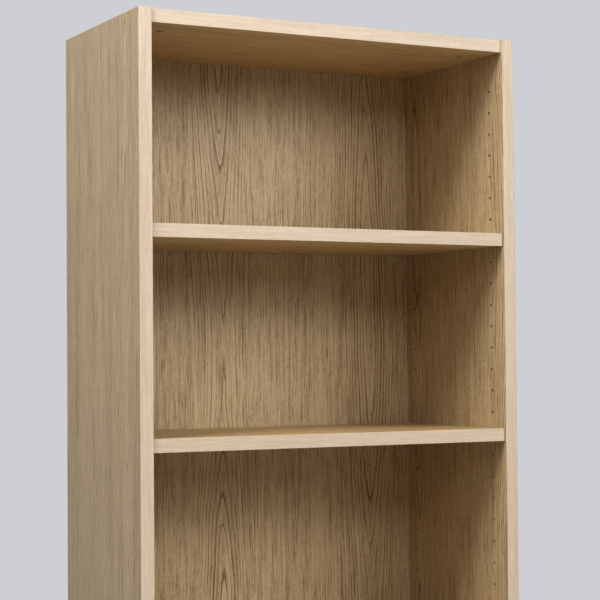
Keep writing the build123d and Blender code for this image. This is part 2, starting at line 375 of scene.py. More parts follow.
@dataclass(frozen=True)
class OakPrint:
    """Oak foil: arched growth lines, streaks, fibre and embossed pores.

    The growth lines are rings about a heart that runs along the middle of each leaf, at
    a depth that rises and falls. A noise is given by its grains to a metre.
    """

    light: Colour = (0.625, 0.497, 0.312)
    dark: Colour = (0.215, 0.132, 0.060)
    width: float = 257 * MM           # of one leaf
    ring: float = 4.6 * MM
    ring_spread: float = 7 * MM       # how unevenly the rings lie
    point: float = 1.5                # 2 for round arches, less for pointed ones
    heart: float = 19 * MM
    heart_swing: float = 14 * MM
    heart_lift: float = 7 * MM        # uneven part of the heart's rise and fall
    swing_length: float = 1150 * MM
    swing_turn: float = 2.75          # from one leaf to the next, in radians
    sway: float = 26 * MM             # long bends of the lines
    waver: float = 7 * MM             # short bends of the lines
    rag: float = 1.8 * MM             # raggedness of the lines' edges
    fine_rag: float = 1.2 * MM
    arch_reach: tuple[float, float] = (20 * MM, 62 * MM)    # where the arches thin out
    face_step: float = 40.0           # the pattern's change through a board, per metre
    figure: float = 1.0
    streak: float = 1.0
    pore_depth: float = 0.035 * MM
    satin: float = 0.46

    def growth_lines(self, spot: GrainPoint, leaf: Leaf) -> tuple[Value, Value, Value]:
        """The rings where a board's face cuts through them.

        Args:
            spot: The point on the board.
            leaf: Where the figure lies.

        Returns:
            The lines, dark above zero and light below it; the dark lines alone, from 0
            to 1; and the nearness of the leaf's middle, where the arches are, from 0 to 1.
        """
        recipe, along, across, face = spot.recipe, spot.along, spot.across, spot.face
        sway = recipe.noise(along * 1.3, face, 0.5) * self.sway
        waver = recipe.noise(along * 9.0, across * 7.0, face) * self.waver
        offset = across - leaf.middle + sway + waver
        number = recipe.math("FLOOR", offset / self.width + 0.5)
        aside = abs(offset - number * self.width)
        phase = (along - leaf.deepest) * (TURN / self.swing_length) + number * self.swing_turn
        lift = recipe.noise(along * 4.5, number * 3.1, face) * self.heart_lift
        depth = recipe.math("COSINE", phase) * self.heart_swing + self.heart + lift
        radius = (aside ** self.point + depth ** self.point) ** (1 / self.point)

        # A ring that the face cuts at a low angle would look wide, so its line is thinned.
        rise = recipe.math("SINE", phase) * (self.heart_swing * TURN / self.swing_length)
        level_slope = (aside / radius) ** (self.point - 1)
        upright_slope = (depth / radius) ** (self.point - 1) * rise
        slope = recipe.math("SQRT", level_slope * level_slope + upright_slope * upright_slope)
        steep = slope * 0.8 + 0.2

        ragged = spot.noise(90.0, 16.0) * self.rag + spot.noise(420.0, 70.0) * self.fine_rag
        uneven = recipe.noise(radius * 150.0, leaf.seed, 0.3) * self.ring_spread
        ring = recipe.math("FRACT", (radius + ragged * steep + uneven) / self.ring)
        past, ahead = ring / steep, (1.0 - ring) / steep
        early = past.ramp(0.0, 0.12) * (1.0 - past.ramp(0.16, 0.52))
        late = 1.0 - ahead.ramp(0.05, 0.34)
        arch = 1.0 - aside.ramp(*self.arch_reach)
        patchy = spot.noise(60.0, 20.0) * 1.8 + 0.3 + arch * 0.6
        lines = (early - late * 0.8) * patchy.ramp(-0.1, 1.2) * self.figure
        return lines, early, arch

    def coat(self, recipe: Recipe, grain: Grain, leaf: Leaf) -> Coat:
        """The foil's colour, roughness and height.

        Args:
            recipe: The material's recipe.
            grain: The board's axes.
            leaf: Where the figure lies.

        Returns:
            The foil as a coat.
        """
        along, across, through = (recipe.point[axis] for axis in grain.value)
        spot = GrainPoint(recipe, along, across, through * self.face_step + leaf.seed)
        lines, early, arch = self.growth_lines(spot, leaf)
        broad = spot.noise(38.0, 1.3, detail=2.0)
        streaks = spot.noise(230.0, 9.0, detail=2.0)
        fibre = spot.noise(620.0, 32.0, detail=2.0, roughness=0.7)
        speckle = spot.noise(900.0, 190.0)
        pores = spot.noise(1500.0, 110.0).ramp(0.06, 0.22) * (0.45 + 0.55 * early)

        tone = (0.26 - arch * 0.05 + broad * 0.5 + lines * (0.62 + arch * 0.16)
                + (streaks * 1.15 + fibre * 1.5 + speckle * 0.75 + pores * 0.4) * self.streak)
        colour = recipe.blend(tone.ramp(-0.25, 1.25), self.light, self.dark)
        roughness = self.satin + streaks * 0.12 + pores * 0.18
        height = (fibre * 0.25 - pores) * self.pore_depth
        return Coat(colour, roughness, height)


@dataclass(frozen=True)
class ChipCore:
    """Raw particle board: coarse chips in the middle and fine ones near the faces."""

    pale: Colour = (0.60, 0.46, 0.29)
    brown: Colour = (0.27, 0.165, 0.085)
    chip: float = 1.6 * MM
    fine_chip: float = 0.6 * MM
    fine_share: float = 0.32          # of the way from a face to the middle
    mixed_share: float = 0.08         # where the two sizes mix, to each side of that

    def coat(self, recipe: Recipe, depth: Value) -> Coat:
        """The cut edges' colour, roughness and height.

        Args:
            recipe: The material's recipe.
            depth: From 0 at the board's middle to 1 at its faces.

        Returns:
            The raw core as a coat.
        """
        coarse = recipe.cells(*recipe.scaled(1 / self.chip))
        fine = recipe.cells(*recipe.scaled(1 / self.fine_chip))
        middle_share = 1 - self.fine_share
        outer = depth.ramp(middle_share - self.mixed_share, middle_share + self.mixed_share)
        chips = coarse + outer * (fine - coarse)
        dust = recipe.noise(*recipe.scaled(2600.0), detail=2.0)
        tone = chips * 0.8 + dust * 0.7 + 0.05
        return Coat(recipe.blend(tone.ramp(0.0, 1.1), self.pale, self.brown),
                    0.88 + dust * 0.1, (chips * 0.3 + dust * 0.5) * (0.18 * MM))


@dataclass(frozen=True)
class FibreBoard:
    """The unfaced rear of the back panel: felted brown fibres."""

    pale: Colour = (0.50, 0.36, 0.215)
    brown: Colour = (0.30, 0.19, 0.10)

    def coat(self, recipe: Recipe) -> Coat:
        """The fibres' colour, roughness and height.

        Args:
            recipe: The material's recipe.

        Returns:
            The bare fibre as a coat.
        """
        felt = recipe.noise(*recipe.scaled(900.0), detail=4.0, roughness=0.7)
        clumps = recipe.noise(*recipe.scaled(90.0), detail=3.0)
        cloud = recipe.noise(*recipe.scaled(5.0), detail=2.0)
        specks = recipe.noise(*recipe.scaled(320.0)).ramp(0.16, 0.24)
        tone = 0.4 + felt * 1.1 + clumps * 0.5 + cloud * 0.35 + specks * 0.35
        return Coat(recipe.blend(tone.ramp(0.0, 1.0), self.pale, self.brown),
                    0.74 + felt * 0.15, felt * (0.06 * MM))


@dataclass(frozen=True)
class Beech:
    """Turned beech: pinkish, fine grained, with short dark ray flecks along X."""

    pale: Colour = (0.66, 0.47, 0.29)
    brown: Colour = (0.40, 0.235, 0.12)

    def material(self) -> bpy.types.Material:
        """Makes the dowels' finish.

        Returns:
            The material.
        """
        material, recipe = new_recipe("beech_turned")
        grain = recipe.noise(*recipe.scaled(30.0, 900.0, 900.0), detail=3.0)
        flecks = recipe.noise(*recipe.scaled(420.0, 3200.0, 3200.0)).ramp(0.16, 0.24)
        tone = 0.35 + grain * 1.2 + flecks * 0.5
        coat = Coat(recipe.blend(tone.ramp(0.0, 1.1), self.pale, self.brown),
                    0.62 + grain * 0.2, grain * (0.05 * MM) - flecks * (0.02 * MM))
        finish_recipe(recipe, coat)
        return material


# ---- Metal and plastic finishes -----------------------------------------------
@dataclass(frozen=True)
class PlatedMetal:
    """Plated or cast metal: clouded plating, fine tool marks and small pits."""

    name: str
    colour: Colour
    tarnish: Colour
    satin: float
    mark: float              # depth of the tool marks or of the cast skin
    scale: float             # how many marks to a metre

    def material(self) -> bpy.types.Material:
        """Makes the metal's finish.

        Returns:
            The material.
        """
        material, recipe = new_recipe(self.name)
        cloud = recipe.noise(*recipe.scaled(260.0), detail=3.0)
        marks = recipe.noise(*recipe.scaled(self.scale), detail=2.0, roughness=0.6)
        pits = recipe.noise(*recipe.scaled(self.scale * 0.6)).ramp(0.2, 0.3)
        tone = 0.32 + cloud * 1.3 + pits * 0.5
        coat = Coat(recipe.blend(tone.ramp(0.0, 1.0), self.colour, self.tarnish),
                    self.satin + cloud * 0.18 + marks * 0.12,
                    (marks - pits) * self.mark)
        finish_recipe(recipe, coat, metallic=1.0)
        return material


@dataclass(frozen=True)
class MouldedPlastic:
    """Slightly grained polythene, scuffed along X."""

    colour: Colour = (0.50, 0.48, 0.44)
    scuffed: Colour = (0.38, 0.36, 0.33)

    def material(self) -> bpy.types.Material:
        """Makes the finish of the glides' feet.

        Returns:
            The material.
        """
        material, recipe = new_recipe("glide_polythene")
        skin = recipe.noise(*recipe.scaled(2400.0), detail=2.0)
        scuffs = recipe.noise(*recipe.scaled(180.0, 900.0, 900.0), detail=3.0)
        coat = Coat(recipe.blend((0.3 + scuffs * 1.6).ramp(0.0, 1.0), self.colour, self.scuffed),
                    0.46 + scuffs * 0.25, skin * (0.03 * MM))
        finish_recipe(recipe, coat)
        return material


def board_material(name: str, foil: OakPrint, grain: Grain, leaf: Leaf) -> bpy.types.Material:
    """Oak foil on a board's two broad faces, with its raw core at the cut edges.

    A side's top end shows beside the top board, so it has foil too.

    Args:
        name: The CAD node of the board.
        foil: The oak foil.
        grain: The board's axes.
        leaf: Where the foil's figure lies.

    Returns:
        The board's material.
    """
    low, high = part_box(name)
    through = grain.value[2]
    axis = "xyz".index(through)
    centre, half = (low[axis] + high[axis]) / 2, (high[axis] - low[axis]) / 2
    material, recipe = new_recipe(f"{name}_oak")
    depth = abs(recipe.point[through] - centre) / half
    covered = depth > 1 - FOIL / half
    if grain is Grain.SIDE:
        covered = recipe.math("MAXIMUM", covered, recipe.point["z"] > high.z - FOIL)
    printed = foil.coat(recipe, grain, leaf)
    finish_recipe(recipe, printed.over(covered, ChipCore().coat(recipe, depth)))
    return material


def band_material(name: str, foil: OakPrint, grain: Grain, leaf: Leaf) -> bpy.types.Material:
    """Oak print all over, for the bands on the front edges.

    Args:
        name: The material's name.
        foil: The bands' print.
        grain: The bands' axes.
        leaf: Where the print's figure lies.

    Returns:
        The bands' material.
    """
    material, recipe = new_recipe(name)
    finish_recipe(recipe, foil.coat(recipe, grain, leaf))
    return material


def dress(node: str, material: bpy.types.Material) -> None:
    """Gives a CAD node its finish.

    Args:
        node: The CAD node, which keeps its shape.
        material: The finish.
    """
    piece = frame["nodes"][node]
    if not piece.material_slots:
        piece.data.materials.append(material)
    for slot in piece.material_slots:
        slot.material = material
    log.info("dressed %s in %s", node, material.name)


# ---- Mesh tools ---------------------------------------------------------------
@dataclass(frozen=True)
class Solid:
    """The box of one of a CAD node's solids."""

    low: Vector
    high: Vector

    @property
    def middle(self) -> Vector:
        """The middle of the box."""
        return (self.low + self.high) / 2

    def span(self, axis: int) -> float:
        """The box's length along an axis: 0 for X, 1 for Y and 2 for Z."""
        return self.high[axis] - self.low[axis]


def solids(node: str) -> list[Solid]:
    """Measures a CAD node's separate solids, which are its islands of joined corners.

    Args:
        node: The CAD node.

    Returns:
        The solids' boxes, in the order of their middles.
    """
    mesh = bmesh.new()
    mesh.from_mesh(frame["nodes"][node].data)
    bmesh.ops.remove_doubles(mesh, verts=mesh.verts[:], dist=MERGE)
    waiting = set(mesh.verts)
    found = []
    while waiting:
        reached = [waiting.pop()]
        corners = []
        while reached:
            vertex = reached.pop()
            corners.append(vertex.co.copy())
            near = {edge.other_vert(vertex) for edge in vertex.link_edges} & waiting
            waiting -= near
            reached.extend(near)
        low = Vector(min(corner[axis] for corner in corners) for axis in range(3))
        high = Vector(max(corner[axis] for corner in corners) for axis in range(3))
        found.append(Solid(low, high))
    mesh.free()
    return sorted(found, key=lambda solid: tuple(round(part, 4) for part in solid.middle))


def lathe(outline: Outline, steps: int = 32, material: int = 0) -> bmesh.types.BMesh:
    """Turns an outline round +Z.

    Args:
        outline: (height, radius) pairs, from the bottom up.
        steps: How many segments make a full turn.
        material: The material's place in the piece's list.

    Returns:
        The turned shape, closed where the outline meets the axis.
    """
    mesh = bmesh.new()
    points = [mesh.verts.new((radius, 0.0, height)) for height, radius in outline]
    for first, second in zip(points, points[1:]):
        mesh.edges.new((first, second))
    bmesh.ops.spin(mesh, geom=mesh.verts[:] + mesh.edges[:], cent=(0, 0, 0), axis=(0, 0, 1),
                   angle=TURN, steps=steps, use_merge=True)
    return tidied(mesh, material)


def tidied(mesh: bmesh.types.BMesh, material: int = 0) -> bmesh.types.BMesh:
    """Merges a shape's doubles and turns its faces outwards.

    Args:
        mesh: The shape.
        material: The number of its material in the piece's list.

    Returns:
        The same shape.
    """
    bmesh.ops.remove_doubles(mesh, verts=mesh.verts[:], dist=MERGE)
    bmesh.ops.dissolve_degenerate(mesh, dist=MERGE, edges=mesh.edges[:])
    bmesh.ops.recalc_face_normals(mesh, faces=mesh.faces[:])
    for face in mesh.faces:
        face.material_index = material
        face.smooth = True
    return mesh


def thread(root: float, crest: float, length: float, turns: int, point: float,
           blunt: float = 0.12, steps: int = 24) -> bmesh.types.BMesh:
    """A screw thread round the Z axis, below the shank that ends at height 0.

    Args:
        root: Radius between the ridges.
        crest: Radius over the ridges.
        length: How far the thread reaches below height 0.
        turns: How many turns.
        point: Height over which the thread tapers to its point.
        blunt: Share of the radius that is left at the point.
        steps: Segments in one turn.

    Returns:
        The closed thread.
    """
    whole = length + THREAD_LAP
    pitch = whole / (turns + 1)
    mesh = bmesh.new()
    ridge = [(root, 0.0), (root, 0.30), (crest, 0.55), (crest, 0.65), (root, 1.0)]
    corners = [mesh.verts.new((radius, 0.0, share * pitch)) for radius, share in ridge]
    for first, second in zip(corners, corners[1:]):
        mesh.edges.new((first, second))
    bmesh.ops.spin(mesh, geom=mesh.verts[:] + mesh.edges[:], cent=(0, 0, 0), axis=(0, 0, 1),
                   dvec=(0, 0, pitch / steps), angle=TURN * turns, steps=steps * turns)
    bmesh.ops.remove_doubles(mesh, verts=mesh.verts[:], dist=MERGE)
    for vertex in mesh.verts:
        share = min(1.0, max(blunt, vertex.co.z / point))
        vertex.co.x *= share
        vertex.co.y *= share
    for low_end, tip in ((True, 0.0), (False, whole)):
        rim = [edge for edge in mesh.edges if edge.is_boundary
               and all((vertex.co.z < whole / 2) == low_end for vertex in edge.verts)]
        cap = bmesh.ops.extrude_edge_only(mesh, edges=rim)["geom"]
        cap_points = [part for part in cap if isinstance(part, bmesh.types.BMVert)]
        bmesh.ops.pointmerge(mesh, verts=cap_points, merge_co=(0, 0, tip))
    tidied(mesh)
    bmesh.ops.translate(mesh, verts=mesh.verts[:], vec=(0, 0, -length))
    return mesh


def sink_cross(mesh: bmesh.types.BMesh, height: float, length: float, width: float,
               depth: float, taper: float = 0.86) -> None:
    """Sinks a cross recess into the flat top of a turned shape.

    Args:
        mesh: The shape, with one flat face at the given height.
        height: Height of that face.
        length: Length of each arm of the cross.
        width: Width of an arm.
        depth: Depth of the recess.
        taper: The floor's size as a share of the opening's.
    """
    def on_top(face: bmesh.types.BMFace) -> bool:
        """Whether a face lies in the flat top."""
        return all(abs(vertex.co.z - height) < MERGE for vertex in face.verts)

    for normal in ((1, 0, 0), (0, 1, 0)):
        for reach in (-length / 2, -width / 2, width / 2, length / 2):
            top = [face for face in mesh.faces if on_top(face)]
            edges = {edge for face in top for edge in face.edges}
            points = {vertex for face in top for vertex in face.verts}
            bmesh.ops.bisect_plane(mesh, geom=[*top, *edges, *points], dist=MERGE,
                                   plane_co=Vector(normal) * reach, plane_no=normal)
    arms = []
    for face in mesh.faces:
        centre = face.calc_center_median()
        near, far = sorted((abs(centre.x), abs(centre.y)))
        if on_top(face) and near < width / 2 and far < length / 2:
            arms.append(face)
    sunk = bmesh.ops.extrude_face_region(mesh, geom=arms)["geom"]
    bmesh.ops.delete(mesh, geom=arms, context="FACES")
    floor = [part for part in sunk if isinstance(part, bmesh.types.BMVert)]
    bmesh.ops.translate(mesh, verts=floor, vec=(0, 0, -depth))
    bmesh.ops.scale(mesh, verts=floor, vec=(taper, taper, 1.0))
    bmesh.ops.recalc_face_normals(mesh, faces=mesh.faces[:])


def facing(direction: Sequence[float]) -> Matrix:
    """The turn that lays a shape made along +Z along another direction."""
    return Vector((0, 0, 1)).rotation_difference(Vector(direction)).to_matrix().to_4x4()


class Piece:
    """A new piece, gathered from shapes, that stands for a CAD node and rides as it does."""

    def __init__(self, name: str) -> None:
        """Starts an empty piece.

        Args:
            name: The piece's name.
        """
        self.name = name
        self.mesh = bmesh.new()

    def add(self, shape: bmesh.types.BMesh, places: Iterable[Matrix]) -> None:
        """Adds copies of a shape, which is then freed.

        Args:
            shape: The shape.
            places: Where its copies go.
        """
        for place in places:
            copy = bpy.data.meshes.new("copy")
            shape.to_mesh(copy)
            copy.transform(place)
            self.mesh.from_mesh(copy)
            bpy.data.meshes.remove(copy)
        shape.free()

    def finish(self, node: str,
               materials: Iterable[bpy.types.Material]) -> bpy.types.Object:
        """Makes the object and puts it in the CAD node's place.

        Args:
            node: The CAD node that it replaces.
            materials: Its materials, in the order of the faces' numbers.

        Returns:
            The finished piece.
        """
        data = bpy.data.meshes.new(self.name)
        self.mesh.to_mesh(data)
        self.mesh.free()
        data.set_sharp_from_angle(angle=SHARP_ANGLE)
        for material in materials:
            data.materials.append(material)
        piece = bpy.data.objects.new(self.name, data)
        bpy.context.scene.collection.objects.link(piece)
        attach(piece, frame["nodes"][node]["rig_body"])
        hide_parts(node)
        log.info("made %s, %d faces", self.name, len(data.polygons))
        return piece


# ---- Finishes of this bookcase ------------------------------------------------
SHELF_LEAF = Leaf(60 * MM, 50 * MM, seed=71.0)
SHELF_LEAF_STEP = -37 * MM       # from one shelf to the next
SHELF_SEED_STEP = 3.3
PANEL_OAK = OakPrint()
# The same oak foil, more orange and saturated, for the top, fixed and bottom boards and the
# shelves: painted warm shade, standing in for light bounced between the boards onto their
# undersides.
OAK_WITH_PAINTED_WARM_SHADE = OakPrint(light=(0.715, 0.535, 0.285), dark=(0.27, 0.165, 0.065), figure=0.8,
                    streak=0.8)
# The same oak foil, paler and greyer and with a softer figure, for the left side: painted light,
# the cooler look that the camera-side lamp gives its outer face.
OAK_WITH_PAINTED_LIGHT = OakPrint(light=(0.60, 0.49, 0.345), dark=(0.20, 0.14, 0.078), figure=0.62,
                    streak=0.66)
BAND_OAK = OakPrint(light=(0.70, 0.592, 0.465), dark=(0.40, 0.295, 0.20), ring=2.2 * MM,
                    figure=0.4, streak=0.45, pore_depth=0.02 * MM, satin=0.42)
STEEL = PlatedMetal("zinc_plated_steel", (0.66, 0.67, 0.66), (0.50, 0.50, 0.45), 0.30,
                    0.010 * MM, 2200.0)
CAST_ZINC = PlatedMetal("cast_zinc", (0.33, 0.32, 0.30), (0.20, 0.19, 0.175), 0.48,
                        0.030 * MM, 2600.0)
NICKEL = PlatedMetal("nickel_plate", (0.66, 0.63, 0.57), (0.54, 0.51, 0.45), 0.24,
                     0.006 * MM, 3000.0)


# ---- The case -----------------------------------------------------------------
@dataclass
class Case:
    """The two sides, the three fixed boards and the plinth, with their bands."""

    left_leaf: Leaf = Leaf(-90 * MM, 1000 * MM, seed=11.0)
    right_leaf: Leaf = Leaf(105 * MM, 1000 * MM, seed=16.7)
    board_leaf: Leaf = Leaf(35 * MM, 100 * MM, seed=31.0)
    leaf_step: float = -30 * MM       # from one board to the next
    seed_step: float = 4.9
    plinth_leaf: Leaf = Leaf(0.0, 0.0, seed=57.0)
    band_leaf: Leaf = Leaf(350 * MM, 0.0, seed=7.3)

    def dress(self) -> None:
        """Gives the boards their foil and the front edges their bands."""
        # The left side takes the oak with painted light; the right side and the plinth take the
        # plain oak.
        covers = [("left_side", OAK_WITH_PAINTED_LIGHT, Grain.SIDE, self.left_leaf),
                  ("right_side", PANEL_OAK, Grain.SIDE, self.right_leaf),
                  ("plinth", PANEL_OAK, Grain.ON_EDGE, self.plinth_leaf)]
        for number, board in enumerate(BOARDS):
            leaf = self.board_leaf.shifted(number, self.leaf_step, self.seed_step)
            # The level boards take the oak with painted warm shade.
            covers.append((board, OAK_WITH_PAINTED_WARM_SHADE, Grain.LEVEL, leaf))
        for name, foil, grain, leaf in covers:
            dress(name, board_material(name, foil, grain, leaf))
        upright = band_material("oak_band_upright", BAND_OAK, Grain.UPRIGHT, self.band_leaf)
        level = band_material("oak_band_level", BAND_OAK, Grain.ON_EDGE, self.band_leaf)
        for side in ("left_side", "right_side"):
            dress(f"{side}_edge_band", upright)
        for board in (*BOARDS, *SHELVES):
            dress(f"{board}_edge_band", level)


@dataclass
class Shelf:
    """One adjustable shelf on its four pins."""

    name: str
    leaf: Leaf

    def dress(self, pin_metal: bpy.types.Material) -> None:
        """Gives the shelf its foil and the pins their plating.

        Args:
            pin_metal: The pins' finish.
        """
        # The shelves take the oak with painted warm shade.
        dress(self.name, board_material(self.name, OAK_WITH_PAINTED_WARM_SHADE, Grain.LEVEL, self.leaf))
        for end in ("left", "right"):
            dress(f"{self.name}_{end}_pins", pin_metal)


@dataclass
class BackPanel:
    """The thin back panel, foil in front and raw fibre behind, and its nails."""

    leaf: Leaf = Leaf(-50 * MM, 1370 * MM, seed=0.0)
    head: float = 1.8 * MM
    shank: float = 0.8 * MM
    head_height: float = 0.8 * MM
    rings: int = 9
    ring_height: float = 1.3 * MM
    groove: float = 0.18 * MM
    point: float = 2.2 * MM

    def dress(self) -> None:
        """Gives the panel its two faces."""
        low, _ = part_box("back_panel")
        material, recipe = new_recipe("back_panel_oak_and_fibre")
        front = PANEL_OAK.coat(recipe, Grain.UPRIGHT, self.leaf)
        faced = recipe.point["y"] < low.y + FOIL
        finish_recipe(recipe, front.over(faced, FibreBoard().coat(recipe)))
        dress("back_panel", material)

    def nail(self, length: float) -> bmesh.types.BMesh:
        """One ring-shank nail, its head at height 0 and its point above.

        Args:
            length: From the head's face to the point.

        Returns:
            The nail.
        """
        outline = [(0.0, 0.0), (0.0, self.head * 0.55), (0.06 * MM, self.head * 0.62),
                   (0.0, self.head * 0.9), (0.15 * MM, self.head),
                   (self.head_height * 0.55, self.head), (self.head_height, self.shank)]
        start = length - self.point - self.rings * self.ring_height
        for number in range(self.rings):
            foot = start + number * self.ring_height
            outline += [(foot, self.shank), (foot + 0.3 * MM, self.shank - self.groove)]
        outline += [(length - self.point, self.shank), (length - 0.3 * MM, 0.25 * MM),
                    (length, 0.0)]
        return lathe(outline, steps=14)

    def build_nails(self, steel: bpy.types.Material) -> bpy.types.Object:
        """All the nails, each where the frame has a plain one.

        Args:
            steel: The nails' finish.

        Returns:
            The nails as one piece.
        """
        nails = solids("back_panel_nails")
        forward = facing((0, -1, 0))
        piece = Piece("ring_shank_nails")
        piece.add(self.nail(nails[0].span(1)), [
            Matrix.Translation((nail.middle.x, nail.high.y, nail.middle.z)) @ forward
            for nail in nails])
        return piece.finish("back_panel_nails", [steel])


@dataclass
class CamJoint:
    """The threaded bolts that the cams of one board draw tight."""

    board: str
    thread_length: float = 10.5 * MM
    thread_root: float = 1.75 * MM
    thread_crest: float = 2.45 * MM
    thread_turns: int = 4
    thread_point: float = 1.6 * MM
    collar: float = 4.0 * MM
    collar_height: float = 1.0 * MM
    shank: float = 3.0 * MM
    neck: float = 1.5 * MM
    neck_length: float = 6.5 * MM
    head: float = 2.8 * MM
    head_length: float = 3.0 * MM
    soft: float = 0.25 * MM      # size of the bolt's bevels

    def bolt(self, length: float) -> bmesh.types.BMesh:
        """One bolt along +Z, its collar's foot at height 0 and its thread below.

        Args:
            length: Overall.

        Returns:
            The bolt.
        """
        top = length - self.thread_length
        under_head = top - self.head_length
        under_neck = under_head - self.neck_length
        soft = self.soft
        outline = [(0.0, 0.0), (0.0, self.collar - soft), (soft, self.collar),
                   (self.collar_height - soft, self.collar),
                   (self.collar_height, self.collar - soft),
                   (self.collar_height, self.shank + soft),
                   (self.collar_height + soft, self.shank), (under_neck - soft, self.shank),
                   (under_neck, self.shank - soft), (under_neck + soft, self.neck),
                   (under_head - soft, self.neck), (under_head, self.neck + soft),
                   (under_head + soft, self.head - soft), (under_head + 2 * soft, self.head),
                   (top - 3 * soft, self.head), (top - soft, self.head * 0.86),
                   (top, self.head * 0.55), (top, 0.0)]
        bolt = Piece("bolt")
        bolt.add(lathe(outline), [Matrix()])
        bolt.add(thread(self.thread_root, self.thread_crest, self.thread_length,
                        self.thread_turns, self.thread_point), [Matrix()])
        return bolt.mesh

    def build_bolts(self, steel: bpy.types.Material) -> bpy.types.Object:
        """The board's four bolts.

        Args:
            steel: The bolts' finish.

        Returns:
            The bolts as one piece.
        """
        node = f"{self.board}_cam_bolts"
        bolts = solids(node)
        places = []
        for bolt in bolts:
            inward = -math.copysign(1.0, bolt.middle.x)
            outer = bolt.low.x if inward > 0 else bolt.high.x
            collar = (outer + inward * self.thread_length, bolt.middle.y, bolt.middle.z)
            places.append(Matrix.Translation(collar) @ facing((inward, 0, 0)))
        piece = Piece(f"{self.board}_threaded_bolts")
        piece.add(self.bolt(bolts[0].span(0)), places)
        return piece.finish(node, [steel])


@dataclass
class DowelSet:
    """The fluted beech dowels of one node."""

    node: str
    flutes: int = 14
    flute_depth: float = 0.35 * MM
    chamfer: float = 1.0 * MM
    chamfer_in: float = 0.82     # share of the radius left at the ends

    def dowel(self, length: float, radius: float) -> bmesh.types.BMesh:
        """One dowel along +Z, centred on height 0.

        Args:
            length: Overall.
            radius: Over the flutes' ridges.

        Returns:
            The dowel.
        """
        mesh = bmesh.new()
        bmesh.ops.create_circle(mesh, cap_ends=False, radius=radius, segments=4 * self.flutes)
        for number, vertex in enumerate(mesh.verts):
            if number % 4 == 0:
                vertex.co *= 1 - self.flute_depth / radius
        bmesh.ops.translate(mesh, verts=mesh.verts[:], vec=(0, 0, -length / 2))
        bmesh.ops.scale(mesh, verts=mesh.verts[:], vec=(self.chamfer_in, self.chamfer_in, 1))
        rim = mesh.edges[:]
        bmesh.ops.contextual_create(mesh, geom=rim)
        steps = ((self.chamfer, 1 / self.chamfer_in), (length - 2 * self.chamfer, 1.0),
                 (self.chamfer, self.chamfer_in))
        for rise, growth in steps:
            grown = bmesh.ops.extrude_edge_only(mesh, edges=rim)["geom"]
            points = [part for part in grown if isinstance(part, bmesh.types.BMVert)]
            rim = [part for part in grown if isinstance(part, bmesh.types.BMEdge)]
            bmesh.ops.translate(mesh, verts=points, vec=(0, 0, rise))
            bmesh.ops.scale(mesh, verts=points, vec=(growth, growth, 1))
        bmesh.ops.contextual_create(mesh, geom=rim)
        return tidied(mesh)

    def build(self, beech: bpy.types.Material) -> bpy.types.Object:
        """The node's dowels.

        Args:
            beech: Their finish.

        Returns:
            The dowels as one piece.
        """
        dowels = solids(self.node)
        level = facing((1, 0, 0))
        piece = Piece(f"{self.node}_fluted")
        piece.add(self.dowel(dowels[0].span(0), dowels[0].span(2) / 2),
                  [Matrix.Translation(dowel.middle) @ level for dowel in dowels])
        return piece.finish(self.node, [beech])


@dataclass
class WallTie:
    """The bracket on the top board and its two pan-head screws."""

    screw_root: float = 1.35 * MM
    screw_crest: float = 2.0 * MM
    screw_turns: int = 8
    screw_point: float = 3.0 * MM
    head: float = 3.8 * MM
    head_height: float = 2.4 * MM
    cross: float = 4.2 * MM
    cross_width: float = 0.85 * MM
    cross_depth: float = 1.3 * MM

    def screw(self, length: float) -> bmesh.types.BMesh:
        """One screw along +Z, its head's foot at height 0 and its thread below.

        Args:
            length: Overall, with the head.

        Returns:
            The screw.
        """
        flat = self.head * 0.66
        outline = [(0.0, 0.0), (0.0, self.head - 0.3 * MM), (0.3 * MM, self.head),
                   (self.head_height * 0.45, self.head),
                   (self.head_height * 0.75, self.head * 0.93),
                   (self.head_height * 0.93, self.head * 0.80), (self.head_height, flat)]
        head = lathe(outline, steps=40)
        bmesh.ops.holes_fill(head, edges=[edge for edge in head.edges if edge.is_boundary])
        bmesh.ops.recalc_face_normals(head, faces=head.faces[:])
        sink_cross(head, self.head_height, self.cross, self.cross_width, self.cross_depth)
        screw = Piece("screw")
        screw.add(head, [Matrix()])
        screw.add(thread(self.screw_root, self.screw_crest, length - self.head_height,
                         self.screw_turns, self.screw_point), [Matrix()])
        return screw.mesh

    def build(self, steel: bpy.types.Material) -> bpy.types.Object:
        """The two screws; the bracket keeps its shape and gets its plating.

        Args:
            steel: The finish of both.

        Returns:
            The screws as one piece.
        """
        dress("wall_bracket", steel)
        screws = solids("wall_bracket_screws")
        piece = Piece("threaded_bracket_screws")
        piece.add(self.screw(screws[0].span(2)), [
            Matrix.Translation((screw.middle.x, screw.middle.y, screw.high.z - self.head_height))
            for screw in screws])
        return piece.finish("wall_bracket_screws", [steel])


